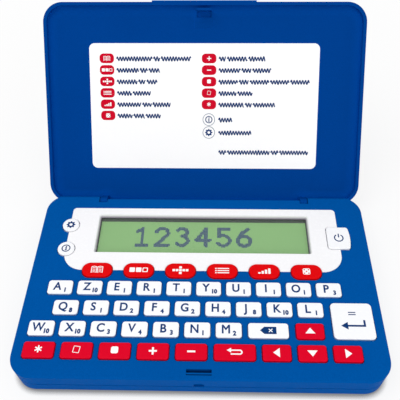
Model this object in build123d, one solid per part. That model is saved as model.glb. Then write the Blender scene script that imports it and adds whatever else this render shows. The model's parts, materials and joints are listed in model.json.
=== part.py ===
from build123d import *
from math import radians, tan
import os

# Pocket electronic dictionary: a keyboard case with a display, closed by a hinged lid.
# Millimetres. X runs to the right, Y towards the hinge, Z up.
# The origin is the centre of the flat underside.
# The case is as wide, deep and tall as its keys, display and battery cells need.

# Key caps
LETTER_W = 10.2
LETTER_D = 6.7
LETTER_R = 1.2
MENU_W = 12.8
MENU_D = 7.3
MENU_FLAT = 0.5
COMMAND_W = 12.2
COMMAND_D = 6.9
COMMAND_R = 1.1
ARROW_W = 11.0
ENTER_W = 16.4
ENTER_R = 1.8
ROUND_R = 3.7
POWER_W = 9.4
POWER_D = 12.0
POWER_R = 1.3
POWER_BOW = 0.7
KEY_PROUD = 0.8
KEY_GAP = 0.3
KEY_EDGE_R = 0.4
KEY_TRAVEL = 0.7
FLANGE_OUT = 0.9
FLANGE_T = 1.0
FLANGE_GAP = 0.2
STEM_W = 4.4
STEM_D = 3.0

# Keyboard layout: names from left to right, and the spaces between the caps
MENU_KEYS = ("dictionary", "build_word", "place_word", "list", "score", "games")
ROW_1_KEYS = "azertyuiop"
ROW_2_KEYS = "qsdfghjkl"
ROW_3_KEYS = "wxcvbnm"
COMMAND_KEYS = ("any_letter", "blank_tile", "full_tile", "bonus", "deduct")
ARROW_KEYS = ("left", "down", "right")
LETTER_GAP = 2.12
COMMAND_GAP = 2.5
ENTER_GAP = 2.94
UP_GAP = 2.83
ROW_GAP = 2.95
MENU_ROW_GAP = 2.0
COMMAND_ROW_GAP = 2.7
ROW_1_INDENT = 4.45
ROW_2_INDENT = 8.35
ROW_3_INDENT = 0.25
ARROW_INDENT = 6.45
LEFT_MARGIN = 4.55
RIGHT_MARGIN = 4.0

# Case
CORNER_R = 9.5
DRAFT = 4.8
SPLIT_Z = 5.6
WALL = 1.6
DECK_T = 1.6
FLOOR_T = 1.5
DECK_EDGE_R = 0.6
BOTTOM_EDGE_R = 1.2
LAP_T = 0.75
LAP_H = 1.0
LAP_GAP = 0.1
SEAM_H = 0.4
SEAM_DEPTH = 0.35
THUMB_NOTCH_R = 2.0
THUMB_NOTCH_RISE = 1.3
THUMB_NOTCH_DEPTH = 1.0
REAR_MARGIN = 8.45

# Hinge: two arms of the lid turn on stub pins in the rolled rear edge of the top case
ROLL_R = 2.0
ROLL_GAP = 0.3
REAR_RELIEF = 1.3
RELIEF_DROP = 2.6
ARM_IN = 25.7
ARM_W = 3.2
ARM_SLACK = 0.1
ARM_SIDE_GAP = 0.35
ARM_FRONT_GAP = 0.65
PIN_R = 1.0
PIN_LEN = 3.6
PIN_GAP = 0.05
MID_EDGE_D = 2.7
HINGE_WEB = 1.4

# Lid
LID_OVERHANG = 0.3
LID_SETBACK = 0.2
LID_HEEL = 1.2
LID_SKIN = 1.6
LID_ROOM = 2.1
LID_RIM = 1.5
LID_CORNER_R = 9.0
LID_EDGE_R = 1.6
LID_OPEN = 126.7
LIP_W = 47.0
LIP_OUT = 0.8
LIP_T = 1.8
LIP_EDGE_R = 0.45

# Latch: a hook of the lid drops into a slot of the deck
LATCH_IN = 3.2
SLOT_W = 9.6
SLOT_D = 2.5
SLOT_BAR = 0.6
SLOT_BAR_SINK = 0.15
SLOT_BAR_GAP = 0.2
POCKET_WALL = 0.8
POCKET_GAP = 0.5
HOOK_W = 6.6
HOOK_T = 0.9
HOOK_REACH = 2.1
HOOK_BEAD = 0.2
PAD_W = 8.4
PAD_L = 9.6
PAD_T = 0.3
CORE_HOLE_L = 2.6

# Label card in the lid
LABEL_SIDE = 20.1
LABEL_TOP = 17.85
LABEL_FROM_HINGE = 15.15
LABEL_T = 0.25
LABEL_R = 2.5

# Display panel and its window
PANEL_X = 0.2
PANEL_SIDE = 12.5
PANEL_PAST_MENU = 0.25
MENU_SIDE = 9.35
PANEL_FRONT_EDGE = 9.4
PANEL_REAR_EDGE = 3.9
PANEL_FRONT_R = 8.8
PANEL_REAR_R = 1.7
PANEL_SEAT = 0.8
PANEL_PROUD = 0.2
PANEL_EDGE_R = 0.15
PANEL_GAP = 0.1
WINDOW_SIDE = 12.6
WINDOW_D = 21.6
WINDOW_R = 0.6
BEVEL = 0.7
BEVEL_DEPTH = 1.4
LIP_WALL = 1.2
LENS_T = 0.8
LENS_GAP = 0.1
GLASS_T = 2.2
GLASS_LEDGE = 2.4
STRIP_T = 1.6
STRIP_GAP = 0.3
FRAME_WALL = 1.3
ROUND_KEY_IN = 0.4
POWER_KEY_IN = 0.5
INFO_UP = 10.9
SETTINGS_UP = 24.3
POWER_UP = 18.1

# Board and key mat
BOARD_LIFT = 2.1
BOARD_T = 1.0
BOARD_SIDE_GAP = 0.5
BOARD_EDGE = 0.4
BOARD_BAY_GAP = 0.3
CHIP_IN = 33.5
CHIP_R = 5.0
CHIP_T = 1.0
CRYSTAL_X = 15.0
CRYSTAL_W = 6.0
CRYSTAL_D = 4.0
CRYSTAL_T = 1.4
MAT_T = 0.8
MAT_SIDE_GAP = 1.5
MAT_FRAME_GAP = 0.4
CUP_WALL = 0.7
CUP_H = 2.0
CUP_GAP = 0.3

# Power: two coin cells in a bay of the bottom case, behind a hinged cover
CELL_R = 10.0
CELL_T = 3.2
CELL_EDGE_R = 0.4
CELL_SPACE = 1.0
CELL_GAP = 0.4
BAY_WALL = 1.2
BAY_ROOF_T = 1.0
BAY_TO_GLASS = 1.0
COVER_T = 1.1
COVER_RECESS = 0.2
COVER_GAP = 0.2
COVER_PIN_R = 0.45
COVER_PIN_LEN = 1.6
NAIL_R = 5.0
NAIL_DEPTH = 0.6
CONTACT_T = 0.25
CONTACT_W = 5.0
CONTACT_L = 12.0
CONTACT_FLAT = 1.8
CONTACT_ROOM = 1.0

# Fixing screws
SCREW_R = 1.0
SCREW_HEAD_R = 1.7
SCREW_HEAD_T = 1.2
SCREW_SINK = 0.4
SCREW_TIP_GAP = 0.2
SCREW_SIDE_IN = 5.2
SCREW_REAR_IN = 11.85
SCREW_PAST_CORNER = 3.0
BOSS_R = 1.9
BOSS_FOOT = 1.2
BOSS_WALL_GAP = 0.1
BOSS_KEY_GAP = 0.8
PILOT_GAP = 0.02
SCREW_GAP = 0.2

# Heights that follow: from the floor up through a cell, the glass and the lens to the deck
DRAFT_SLOPE = tan(radians(DRAFT))
CELL_Z = FLOOR_T + COVER_RECESS
BAY_ROOF_Z = CELL_Z + CELL_T + CONTACT_ROOM
GLASS_Z = BAY_ROOF_Z + BAY_ROOF_T + BAY_TO_GLASS
LENS_Z = GLASS_Z + GLASS_T + LENS_GAP
LIP_Z = LENS_Z + LENS_T
CASE_H = LIP_Z + BEVEL_DEPTH
DECK_Z = CASE_H - DECK_T
BOARD_Z = FLOOR_T + BOARD_LIFT
BOARD_TOP = BOARD_Z + BOARD_T
MAT_TOP = BOARD_TOP + MAT_T
KEY_TOP = CASE_H + KEY_PROUD
FLANGE_TOP = DECK_Z - FLANGE_GAP
STEM_END = MAT_TOP + KEY_TRAVEL + CUP_GAP
COVER_AXIS_Z = COVER_RECESS + COVER_T / 2
AXIS_Z = CASE_H - ROLL_R
RELIEF_Z = AXIS_Z - RELIEF_DROP
LID_Z = CASE_H + ROLL_GAP
LID_FLOOR_Z = KEY_TOP + LID_ROOM
LID_TOP_Z = LID_FLOOR_Z + LID_SKIN

# Places across the case: the second row of letters and the enter key set its width
LETTER_PITCH = LETTER_W + LETTER_GAP
KEYS_W = ROW_2_INDENT + LETTER_PITCH * len(ROW_2_KEYS) - LETTER_GAP + ENTER_GAP + ENTER_W
CASE_W = LEFT_MARGIN + KEYS_W + RIGHT_MARGIN
KEYS_LEFT = LEFT_MARGIN - CASE_W / 2
KEYS_RIGHT = CASE_W / 2 - RIGHT_MARGIN
COMMAND_PITCH = COMMAND_W + COMMAND_GAP
ARROW_PITCH = ARROW_W + COMMAND_GAP
ARROWS_LEFT = KEYS_RIGHT - ARROW_INDENT + COMMAND_GAP - ARROW_PITCH * len(ARROW_KEYS)
RETURN_LEFT = KEYS_LEFT + COMMAND_PITCH * len(COMMAND_KEYS)
RETURN_W = ARROWS_LEFT - COMMAND_GAP - RETURN_LEFT
UP_LEFT = ARROWS_LEFT + ARROW_PITCH
ERASE_LEFT = KEYS_LEFT + ROW_3_INDENT + LETTER_PITCH * len(ROW_3_KEYS) - LETTER_GAP + COMMAND_GAP
ERASE_W = UP_LEFT - UP_GAP - ERASE_LEFT
PANEL_W = CASE_W - 2 * PANEL_SIDE
MENU_LEFT = MENU_SIDE - PANEL_W / 2
MENU_GAP = (PANEL_W - 2 * MENU_SIDE - MENU_W * len(MENU_KEYS)) / (len(MENU_KEYS) - 1)
WINDOW_W = PANEL_W - 2 * WINDOW_SIDE
ROUND_KEY_X = PANEL_X - PANEL_W / 2 + ROUND_KEY_IN
POWER_X = PANEL_X + PANEL_W / 2 - POWER_KEY_IN
ARM_X = CASE_W / 2 - ARM_IN
NOTCH_W = ARM_W + 2 * ARM_SIDE_GAP
LID_W = CASE_W + 2 * LID_OVERHANG
LABEL_W = LID_W - 2 * LABEL_SIDE
CELL_PITCH = 2 * CELL_R + CELL_SPACE
BAY_W = CELL_PITCH + 2 * (CELL_R + CELL_GAP)

# Places from front to back: wall, screw boss, four rows of keys, display panel, hinge
ROW_PITCH = LETTER_D + ROW_GAP
ENTER_D = ROW_PITCH + LETTER_D
BOSS_IN = WALL + BOSS_WALL_GAP + (CASE_H - BOARD_TOP) * DRAFT_SLOPE + BOSS_R
FRONT_MARGIN = BOSS_IN + BOSS_R + BOSS_KEY_GAP + FLANGE_OUT
LETTERS_D = 2 * ROW_PITCH + LETTER_D
KEYS_D = COMMAND_D + COMMAND_ROW_GAP + LETTERS_D + MENU_ROW_GAP + MENU_D / 2
PANEL_D = PANEL_FRONT_EDGE + WINDOW_D + PANEL_REAR_EDGE
CASE_D = FRONT_MARGIN + KEYS_D + PANEL_PAST_MENU + PANEL_D + REAR_MARGIN
FRONT_Y = -CASE_D / 2
REAR_Y = CASE_D / 2
ROW_4_Y = FRONT_Y + FRONT_MARGIN + COMMAND_D / 2
ROW_3_Y = ROW_4_Y + COMMAND_D / 2 + COMMAND_ROW_GAP + LETTER_D / 2
ROW_2_Y = ROW_3_Y + ROW_PITCH
ROW_1_Y = ROW_2_Y + ROW_PITCH
MENU_Y = ROW_1_Y + LETTER_D / 2 + MENU_ROW_GAP + MENU_D / 2
PANEL_FRONT = MENU_Y + PANEL_PAST_MENU
PANEL_REAR = PANEL_FRONT + PANEL_D
WINDOW_FRONT = PANEL_FRONT + PANEL_FRONT_EDGE
WINDOW_Y = WINDOW_FRONT + WINDOW_D / 2
GLASS_FRONT = WINDOW_FRONT - LIP_WALL
BOARD_REAR = GLASS_FRONT + STRIP_GAP + STRIP_T + BOARD_EDGE
BAY_D = 2 * (CELL_R + CELL_GAP)
BAY_FRONT = BOARD_REAR + BOARD_BAY_GAP + BAY_WALL
BAY_Y = BAY_FRONT + BAY_D / 2
COVER_AXIS_Y = BAY_FRONT + BAY_D - COVER_T / 2
AXIS_Y = REAR_Y - ROLL_R
RELIEF_Y = REAR_Y - REAR_RELIEF
TRAY_REAR_Y = RELIEF_Y + (CASE_H - RELIEF_Z) * DRAFT_SLOPE
ARM_R = ROLL_R - ARM_SLACK
NOTCH_Y = AXIS_Y - ARM_R - ARM_FRONT_GAP
MID_EDGE_Y = REAR_Y - MID_EDGE_D
LID_FRONT_Y = FRONT_Y + LID_SETBACK
LID_REAR_Y = AXIS_Y + LID_HEEL
LATCH_Y = FRONT_Y + LATCH_IN
HOOK_Y = LATCH_Y + SLOT_D / 2 - KEY_GAP - HOOK_T / 2
POCKET_Z = DECK_Z - HOOK_REACH - POCKET_GAP
LABEL_L = AXIS_Y - LABEL_FROM_HINGE - LID_FRONT_Y - LABEL_TOP

SCREW_SIDE_X = CASE_W / 2 - SCREW_SIDE_IN
SCREW_FRONT_X = CASE_W / 2 - CORNER_R - SCREW_PAST_CORNER
SCREW_SPOTS = (
    (SCREW_FRONT_X, FRONT_Y + BOSS_IN),
    (SCREW_SIDE_X, PANEL_FRONT),
    (SCREW_SIDE_X, REAR_Y - SCREW_REAR_IN),
)
SCREW_PLACES = [(side * x, y) for x, y in SCREW_SPOTS for side in (-1, 1)]


def block(x0, x1, y0, y1, z0, z1):
    """A box given by its limits."""
    return Pos((x0 + x1) / 2, (y0 + y1) / 2, (z0 + z1) / 2) * Box(x1 - x0, y1 - y0, z1 - z0)


def rod_x(radius, x0, x1, y, z):
    """A round bar along X."""
    return Pos((x0 + x1) / 2, y, z) * Rot(0, 90, 0) * Cylinder(radius, x1 - x0)


def post(radius, x, y, z0, z1):
    """A round post between two heights."""
    return Pos(x, y, (z0 + z1) / 2) * Cylinder(radius, z1 - z0)


def prism(outline, z0, z1):
    """An outline drawn on the ground plane, raised between two heights."""
    return Pos(0, 0, z0) * extrude(outline, z1 - z0)


def rounded(width, depth, radius, x=0.0, y=0.0):
    """A rectangle with round corners about a point."""
    return Pos(x, y) * RectangleRounded(width, depth, radius)


def case_outline(inset, rear):
    """The plan of the case between its front edge and a rear edge, drawn in by an inset."""
    depth = rear - FRONT_Y - 2 * inset
    return rounded(CASE_W - 2 * inset, depth, CORNER_R - inset, 0, (FRONT_Y + rear) / 2)


def case_slab(z0, z1, inset=0.0, rear=REAR_Y):
    """The case between two heights, its walls drawn in by the draft angle and by an inset."""
    outline = case_outline(inset + (CASE_H - z1) * DRAFT_SLOPE, rear)
    return Pos(0, 0, z1) * extrude(outline, -(z1 - z0), taper=DRAFT)


def mirrored(solid):
    """A solid and its mirror image across the middle of the case."""
    return solid + mirror(solid, Plane.YZ)


# Keys: a name, a centre and an outline for each

def power_outline():
    """A rounded square whose outer side bows outwards."""
    x, y = POWER_W / 2, POWER_D / 2
    side = ThreePointArc((x, -y), (x + POWER_BOW, 0), (x, y))
    rim = side + Polyline((x, y), (-x, y), (-x, -y), (x, -y))
    face = make_face(rim)
    return fillet(face.vertices(), POWER_R)


def key_row(names, left, y, gap, width, depth, radius):
    """Equal keys side by side, from the left edge of the first."""
    outline = RectangleRounded(width, depth, radius)
    return [(name, left + width / 2 + i * (width + gap), y, outline) for i, name in enumerate(names)]


def letter_row(names, indent, y):
    """A row of letter keys."""
    return key_row(names, KEYS_LEFT + indent, y, LETTER_GAP, LETTER_W, LETTER_D, LETTER_R)


def arrow_row(names, left, y):
    """Arrow keys side by side."""
    return key_row(names, left, y, COMMAND_GAP, ARROW_W, COMMAND_D, COMMAND_R)


def key_list():
    """Every key with its centre and its plan outline."""
    keys = key_row(MENU_KEYS, MENU_LEFT, MENU_Y, MENU_GAP, MENU_W, MENU_D, (MENU_D - MENU_FLAT) / 2)
    keys += letter_row(ROW_1_KEYS, ROW_1_INDENT, ROW_1_Y)
    keys += letter_row(ROW_2_KEYS, ROW_2_INDENT, ROW_2_Y)
    keys += letter_row(ROW_3_KEYS, ROW_3_INDENT, ROW_3_Y)
    keys += key_row(COMMAND_KEYS, KEYS_LEFT, ROW_4_Y, COMMAND_GAP, COMMAND_W, COMMAND_D, COMMAND_R)
    keys += key_row(["return"], RETURN_LEFT, ROW_4_Y, 0, RETURN_W, COMMAND_D, COMMAND_R)
    keys += arrow_row(ARROW_KEYS, ARROWS_LEFT, ROW_4_Y)
    keys += arrow_row(["up"], UP_LEFT, ROW_3_Y)
    keys += key_row(["erase"], ERASE_LEFT, ROW_3_Y, 0, ERASE_W, LETTER_D, LETTER_R)
    enter_y = (ROW_2_Y + ROW_3_Y) / 2
    keys += key_row(["enter"], KEYS_RIGHT - ENTER_W, enter_y, 0, ENTER_W, ENTER_D, ENTER_R)
    keys.append(("settings", ROUND_KEY_X, PANEL_FRONT + SETTINGS_UP, Circle(ROUND_R)))
    keys.append(("information", ROUND_KEY_X, PANEL_FRONT + INFO_UP, Circle(ROUND_R)))
    keys.append(("power", POWER_X, PANEL_FRONT + POWER_UP, power_outline()))
    return keys


KEYS = key_list()


def key_holes(grow):
    """All the key outlines in place, grown by a clearance."""
    return [Pos(x, y) * offset(outline, grow) for _, x, y, outline in KEYS]


def key(x, y, outline):
    """A cap through the deck, a flange that holds it in, and a stem that presses the mat."""
    cap = prism(outline, FLANGE_TOP, KEY_TOP)
    cap = fillet(cap.edges().group_by(Axis.Z)[-1], KEY_EDGE_R)
    flange = prism(offset(outline, FLANGE_OUT), FLANGE_TOP - FLANGE_T, FLANGE_TOP)
    stem = prism(Rectangle(STEM_W, STEM_D), STEM_END, FLANGE_TOP - FLANGE_T)
    return Pos(x, y) * (cap + flange + stem)


# Case

def hinge_roll(radius, x0, x1):
    """A bar about the hinge axis."""
    return rod_x(radius, x0, x1, AXIS_Y, AXIS_Z)


def case_envelope():
    """The outside of the closed case without the lid: drafted walls and a rolled rear edge."""
    half = CASE_W / 2
    behind = REAR_Y + WALL
    above = CASE_H + WALL
    body = case_slab(RELIEF_Z, CASE_H)
    body = fillet(body.edges().group_by(Axis.Z)[-1], DECK_EDGE_R)
    body += case_slab(0, RELIEF_Z, rear=TRAY_REAR_Y)
    above_roll = block(-half, half, AXIS_Y, behind, AXIS_Z, above)
    under_roll = block(-half, half, RELIEF_Y, behind, RELIEF_Z, AXIS_Z)
    return body - (above_roll + under_roll - hinge_roll(ROLL_R, -half, half))


def hinge_gap():
    """What the rear edge leaves free for the lid: a cut-back middle and two notches for the arms."""
    reach = ARM_X + NOTCH_W / 2
    behind = REAR_Y + WALL
    above = CASE_H + WALL
    middle = block(-reach, reach, MID_EDGE_Y, behind, RELIEF_Z, above)
    notch = block(reach - NOTCH_W, reach, NOTCH_Y, behind, RELIEF_Z, above)
    return middle + mirrored(notch)


def hinge_bores():
    """Blind bores for the stub pins of the lid arms."""
    return mirrored(hinge_roll(PIN_R + PIN_GAP, ARM_X, ARM_X + ARM_W / 2 + PIN_LEN + ARM_SIDE_GAP))


def lap_ring(z0, z1, outer, inner):
    """A thin wall that follows the case at the parting line, between two insets."""
    drawn_in = (CASE_H - SPLIT_Z) * DRAFT_SLOPE
    wide = case_outline(drawn_in + outer, TRAY_REAR_Y)
    narrow = case_outline(drawn_in + inner, TRAY_REAR_Y)
    return prism(wide - narrow, z0, z1)


def panel_outline(grow=0.0):
    """The display panel: small corners at the rear, large ones at the front."""
    face = Pos(PANEL_X, (PANEL_FRONT + PANEL_REAR) / 2) * Rectangle(PANEL_W, PANEL_D)
    corners = face.vertices().group_by(Axis.Y)
    face = fillet(corners[0], PANEL_FRONT_R)
    face = fillet(face.vertices().group_by(Axis.Y)[-1], PANEL_REAR_R)
    return offset(face, grow) if grow else face


def window_outline(grow):
    """The window opening, grown on every side."""
    return rounded(WINDOW_W + 2 * grow, WINDOW_D + 2 * grow, WINDOW_R + max(grow, 0), PANEL_X, WINDOW_Y)


def latch_pocket(bottom_z, top_z, grow):
    """The space under the latch slot, grown to the sides."""
    x, y = SLOT_W / 2 + grow, SLOT_D / 2 + grow
    return block(-x, x, LATCH_Y - y, LATCH_Y + y, bottom_z, top_z)


def latch_slot():
    """The slot in the deck that the hook enters, with a bar in front of the hook."""
    slot = latch_pocket(POCKET_Z, CASE_H, 0)
    rear_y = HOOK_Y - HOOK_T / 2 - SLOT_BAR_GAP
    return slot - block(-SLOT_W, SLOT_W, rear_y - SLOT_BAR, rear_y, DECK_Z, CASE_H - SLOT_BAR_SINK)


def thumb_notch():
    """A finger notch at the front, round at the top and open at the parting line."""
    round_z = SPLIT_Z + THUMB_NOTCH_RISE
    face_y = FRONT_Y + (CASE_H - round_z) * DRAFT_SLOPE
    back_y = face_y + THUMB_NOTCH_DEPTH
    notch = Pos(0, face_y, round_z) * Rot(90, 0, 0) * Cylinder(THUMB_NOTCH_R, 2 * THUMB_NOTCH_DEPTH)
    return notch + block(-THUMB_NOTCH_R, THUMB_NOTCH_R, FRONT_Y, back_y, SPLIT_Z, round_z)


def lower_half():
    """All that lies below the parting line."""
    return block(-CASE_W, CASE_W, -CASE_D, CASE_D, -WALL, SPLIT_Z)


def top_case():
    """The keyboard deck with its walls, screw bosses, display frame, latch pocket and hinge ears."""
    shell = case_envelope() - lower_half()
    shell -= case_slab(SPLIT_Z, DECK_Z, WALL, NOTCH_Y - HINGE_WEB + WALL)
    for x, y in SCREW_PLACES:
        shell += post(BOSS_R, x, y, BOARD_TOP, DECK_Z)
    shell += latch_pocket(POCKET_Z - POCKET_WALL, DECK_Z, POCKET_WALL)
    shell += prism(window_outline(LIP_WALL + PANEL_GAP + FRAME_WALL), GLASS_Z, DECK_Z)
    shell -= prism(window_outline(LIP_WALL + PANEL_GAP), GLASS_Z, CASE_H)
    shell -= prism(panel_outline(PANEL_GAP), CASE_H - PANEL_SEAT, CASE_H)
    shell -= hinge_gap() + hinge_bores()
    shell -= lap_ring(SPLIT_Z, SPLIT_Z + LAP_H + LAP_GAP, WALL - LAP_T - LAP_GAP, WALL + LAP_GAP)
    shell -= lap_ring(SPLIT_Z, SPLIT_Z + SEAM_H, -SEAM_DEPTH, SEAM_DEPTH)
    for hole in key_holes(KEY_GAP):
        shell -= prism(hole, DECK_Z, CASE_H)
    shell -= latch_slot() + thumb_notch()
    for x, y in SCREW_PLACES:
        shell -= post(SCREW_R + PILOT_GAP, x, y, BOARD_TOP, DECK_Z)
    return shell


def bay_block(z0, z1, grow):
    """The battery bay, grown on every side."""
    x, y = BAY_W / 2 + grow, BAY_D / 2 + grow
    return block(-x, x, BAY_Y - y, BAY_Y + y, z0, z1)


def bottom_case():
    """The tray: floor, walls, lap joint, screw bosses, battery bay and a nail rest for its cover."""
    shell = case_envelope() & lower_half()
    shell = fillet(shell.edges().group_by(Axis.Z)[0], BOTTOM_EDGE_R)
    shell -= case_slab(FLOOR_T, SPLIT_Z, WALL, TRAY_REAR_Y)
    shell += lap_ring(SPLIT_Z, SPLIT_Z + LAP_H, WALL - LAP_T, WALL)
    for x, y in SCREW_PLACES:
        shell += post(BOSS_R + BOSS_FOOT, x, y, FLOOR_T, BOARD_Z)
    shell += bay_block(FLOOR_T, BAY_ROOF_Z + BAY_ROOF_T, BAY_WALL)
    shell -= bay_block(0, BAY_ROOF_Z, 0)
    pin_x = BAY_W / 2 + COVER_PIN_LEN
    shell -= rod_x(COVER_PIN_R + PIN_GAP, -pin_x, pin_x, COVER_AXIS_Y, COVER_AXIS_Z)
    shell -= post(NAIL_R, 0, BAY_FRONT, 0, NAIL_DEPTH)
    for x, y in SCREW_PLACES:
        shell -= post(SCREW_R + SCREW_GAP, x, y, 0, BOARD_Z)
        shell -= post(SCREW_HEAD_R + SCREW_GAP, x, y, 0, SCREW_SINK + SCREW_HEAD_T)
    return shell


def case_screws():
    """Six equal pan-head screws, driven from below."""
    shank_z = SCREW_SINK + SCREW_HEAD_T
    screw = post(SCREW_HEAD_R, 0, 0, SCREW_SINK, shank_z)
    screw += post(SCREW_R, 0, 0, shank_z, DECK_Z - SCREW_TIP_GAP)
    return Compound([Pos(x, y) * screw for x, y in SCREW_PLACES])


# Display

def display_bezel():
    """The white panel, with a bevelled frame that drops into the window opening."""
    top = CASE_H + PANEL_PROUD
    panel = prism(panel_outline(), CASE_H - PANEL_SEAT, top)
    panel = fillet(panel.edges().group_by(Axis.Z)[-1], PANEL_EDGE_R)
    panel += prism(window_outline(LIP_WALL), LIP_Z, CASE_H - PANEL_SEAT)
    wide = Pos(0, 0, top) * window_outline(0)
    narrow = Pos(0, 0, LIP_Z) * window_outline(-BEVEL)
    panel -= loft([narrow.face(), wide.face()])
    for hole in key_holes(KEY_GAP):
        panel -= prism(hole, LIP_Z, top)
    return panel


def display_window():
    """The clear lens under the bezel."""
    return prism(window_outline(LIP_WALL), LENS_Z, LIP_Z)


def lcd_module():
    """The glass, with a contact ledge under its front edge, and the strip that joins it to the board."""
    x = WINDOW_W / 2 - GLASS_LEDGE
    middle = GLASS_Z + GLASS_T / 2
    plates = prism(window_outline(LIP_WALL), GLASS_Z, GLASS_Z + GLASS_T)
    plates -= block(-CASE_W, CASE_W, GLASS_FRONT, GLASS_FRONT + GLASS_LEDGE, GLASS_Z, middle)
    strip_front = GLASS_FRONT + STRIP_GAP
    strip = block(PANEL_X - x, PANEL_X + x, strip_front, strip_front + STRIP_T, BOARD_TOP, middle)
    return Compound([plates, strip])


# Electronics

def board_outline(margin):
    """The board fills the case in front of the battery bay, with a wing on each side of it."""
    inset = (CASE_H - BOARD_Z) * DRAFT_SLOPE + WALL + margin
    plate = case_outline(inset, NOTCH_Y - HINGE_WEB - margin + inset)
    bay_x = BAY_W / 2 + BAY_WALL + margin
    return plate - Pos(0, BOARD_REAR + CASE_D / 2 - margin) * Rectangle(2 * bay_x, CASE_D)


def circuit_board():
    """The board, and on its underside the chip under a blob of resin and the crystal."""
    board = prism(board_outline(BOARD_SIDE_GAP), BOARD_Z, BOARD_TOP)
    for x, y in SCREW_PLACES:
        board -= post(SCREW_R + SCREW_GAP, x, y, BOARD_Z, BOARD_TOP)
    y = BOARD_REAR - CHIP_IN
    chip = post(CHIP_R, 0, y, BOARD_Z - CHIP_T, BOARD_Z)
    crystal = Pos(CRYSTAL_X, y, BOARD_Z - CRYSTAL_T / 2) * Box(CRYSTAL_W, CRYSTAL_D, CRYSTAL_T)
    return Compound([board, chip, crystal])


def key_mat():
    """A rubber sheet with a cup under each key."""
    sheet = prism(board_outline(MAT_SIDE_GAP), BOARD_TOP, MAT_TOP)
    frame_out = LIP_WALL + PANEL_GAP + FRAME_WALL + MAT_FRAME_GAP
    x = WINDOW_W / 2 + frame_out
    sheet -= block(PANEL_X - x, PANEL_X + x, WINDOW_FRONT - frame_out, CASE_D, BOARD_TOP, MAT_TOP)
    for x, y in SCREW_PLACES:
        sheet -= post(BOSS_R + KEY_GAP, x, y, BOARD_TOP, MAT_TOP)
    inner = Rectangle(STEM_W + 2 * CUP_GAP, STEM_D + 2 * CUP_GAP)
    cup = prism(offset(inner, CUP_WALL, kind=Kind.INTERSECTION) - inner, MAT_TOP, MAT_TOP + CUP_H)
    for _, x, y, _ in KEYS:
        sheet += Pos(x, y) * cup
    return sheet


def batteries():
    """Two coin cells side by side."""
    cell = post(CELL_R, 0, BAY_Y, CELL_Z, CELL_Z + CELL_T)
    cell = fillet(cell.edges().group_by(Axis.Z)[0], CELL_EDGE_R)
    return Compound([Pos(side * CELL_PITCH / 2, 0) * cell for side in (-1, 1)])


def battery_contacts():
    """A leaf contact over each cell: fixed flat to the roof of the bay, bent down onto the cell."""
    end = CONTACT_L / 2
    bend = end - CONTACT_FLAT
    cell_top = CELL_Z + CELL_T
    upper = [(-end, BAY_ROOF_Z), (0, BAY_ROOF_Z), (bend, cell_top + CONTACT_T), (end, cell_top + CONTACT_T)]
    lower = [(x, z - CONTACT_T) for x, z in reversed(upper)]
    profile = make_face(Polyline(*upper, *lower, close=True))
    leaf = extrude(Plane.XZ * profile, CONTACT_W / 2, both=True)
    return Compound([Pos(side * CELL_PITCH / 2, BAY_Y) * leaf for side in (-1, 1)])


def battery_cover():
    """A flush cover that swings down on two stub pins at its rear edge."""
    x = BAY_W / 2 - COVER_GAP
    plate = block(-x, x, BAY_FRONT + COVER_GAP, COVER_AXIS_Y, COVER_RECESS, COVER_RECESS + COVER_T)
    plate += rod_x(COVER_T / 2, -x, x, COVER_AXIS_Y, COVER_AXIS_Z)
    pin_x = x + COVER_PIN_LEN
    plate += rod_x(COVER_PIN_R, -pin_x, pin_x, COVER_AXIS_Y, COVER_AXIS_Z)
    return plate


# Lid, drawn closed and then turned open about the hinge axis

def opened(solid):
    """A closed-lid solid swung to the open position."""
    turn = Pos(0, AXIS_Y, AXIS_Z) * Rot(-LID_OPEN, 0, 0) * Pos(0, -AXIS_Y, -AXIS_Z)
    return turn * solid


def lid_outline(inset):
    """The plan of the closed lid."""
    depth = LID_REAR_Y - LID_FRONT_Y - 2 * inset
    return rounded(LID_W - 2 * inset, depth, LID_CORNER_R - inset, 0, (LID_FRONT_Y + LID_REAR_Y) / 2)


def lid_arm():
    """One hinge arm with its stub pin: a round knuckle joined to the lid by a web."""
    x0, x1 = ARM_X - ARM_W / 2, ARM_X + ARM_W / 2
    knuckle = hinge_roll(ARM_R, x0, x1)
    web = block(x0, x1, AXIS_Y - ARM_R, LID_REAR_Y, AXIS_Z, LID_FLOOR_Z)
    return knuckle + web + hinge_roll(PIN_R, x1, x1 + PIN_LEN)


def latch_hook():
    """The hook on its pad: a blade with a small bead near the tip."""
    x = HOOK_W / 2
    face_y = HOOK_Y + HOOK_T / 2
    pad_y = LATCH_Y - LID_RIM
    blade = block(-x, x, face_y - HOOK_T, face_y, DECK_Z - HOOK_REACH, LID_FLOOR_Z)
    bead = rod_x(HOOK_BEAD, -x, x, face_y, DECK_Z - HOOK_BEAD * 2)
    pad = block(-PAD_W / 2, PAD_W / 2, pad_y, pad_y + PAD_L, LID_FLOOR_Z - PAD_T, LID_FLOOR_Z)
    return blade + bead + pad


def lid_shell():
    """A rimmed tray with hinge arms, a latch hook and a thumb lip on the outside."""
    shell = prism(lid_outline(0), LID_Z, LID_TOP_Z)
    shell = fillet(shell.edges().group_by(Axis.Z)[-1], LID_EDGE_R)
    shell -= prism(lid_outline(LID_RIM), LID_Z, LID_FLOOR_Z)
    lip_top = LID_TOP_Z - LID_EDGE_R
    lip_front = LID_FRONT_Y - LIP_OUT
    lip = block(-LIP_W / 2, LIP_W / 2, lip_front, LID_FRONT_Y + LID_RIM, lip_top - LIP_T, lip_top)
    shell += fillet(lip.edges().filter_by(Axis.X).group_by(Axis.Y)[0], LIP_EDGE_R)
    shell += mirrored(lid_arm()) + latch_hook()
    hole_y = HOOK_Y + HOOK_T / 2
    shell -= block(-HOOK_W / 2, HOOK_W / 2, hole_y, hole_y + CORE_HOLE_L, LID_Z, LID_TOP_Z - LID_SKIN / 2)
    return opened(shell)


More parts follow.
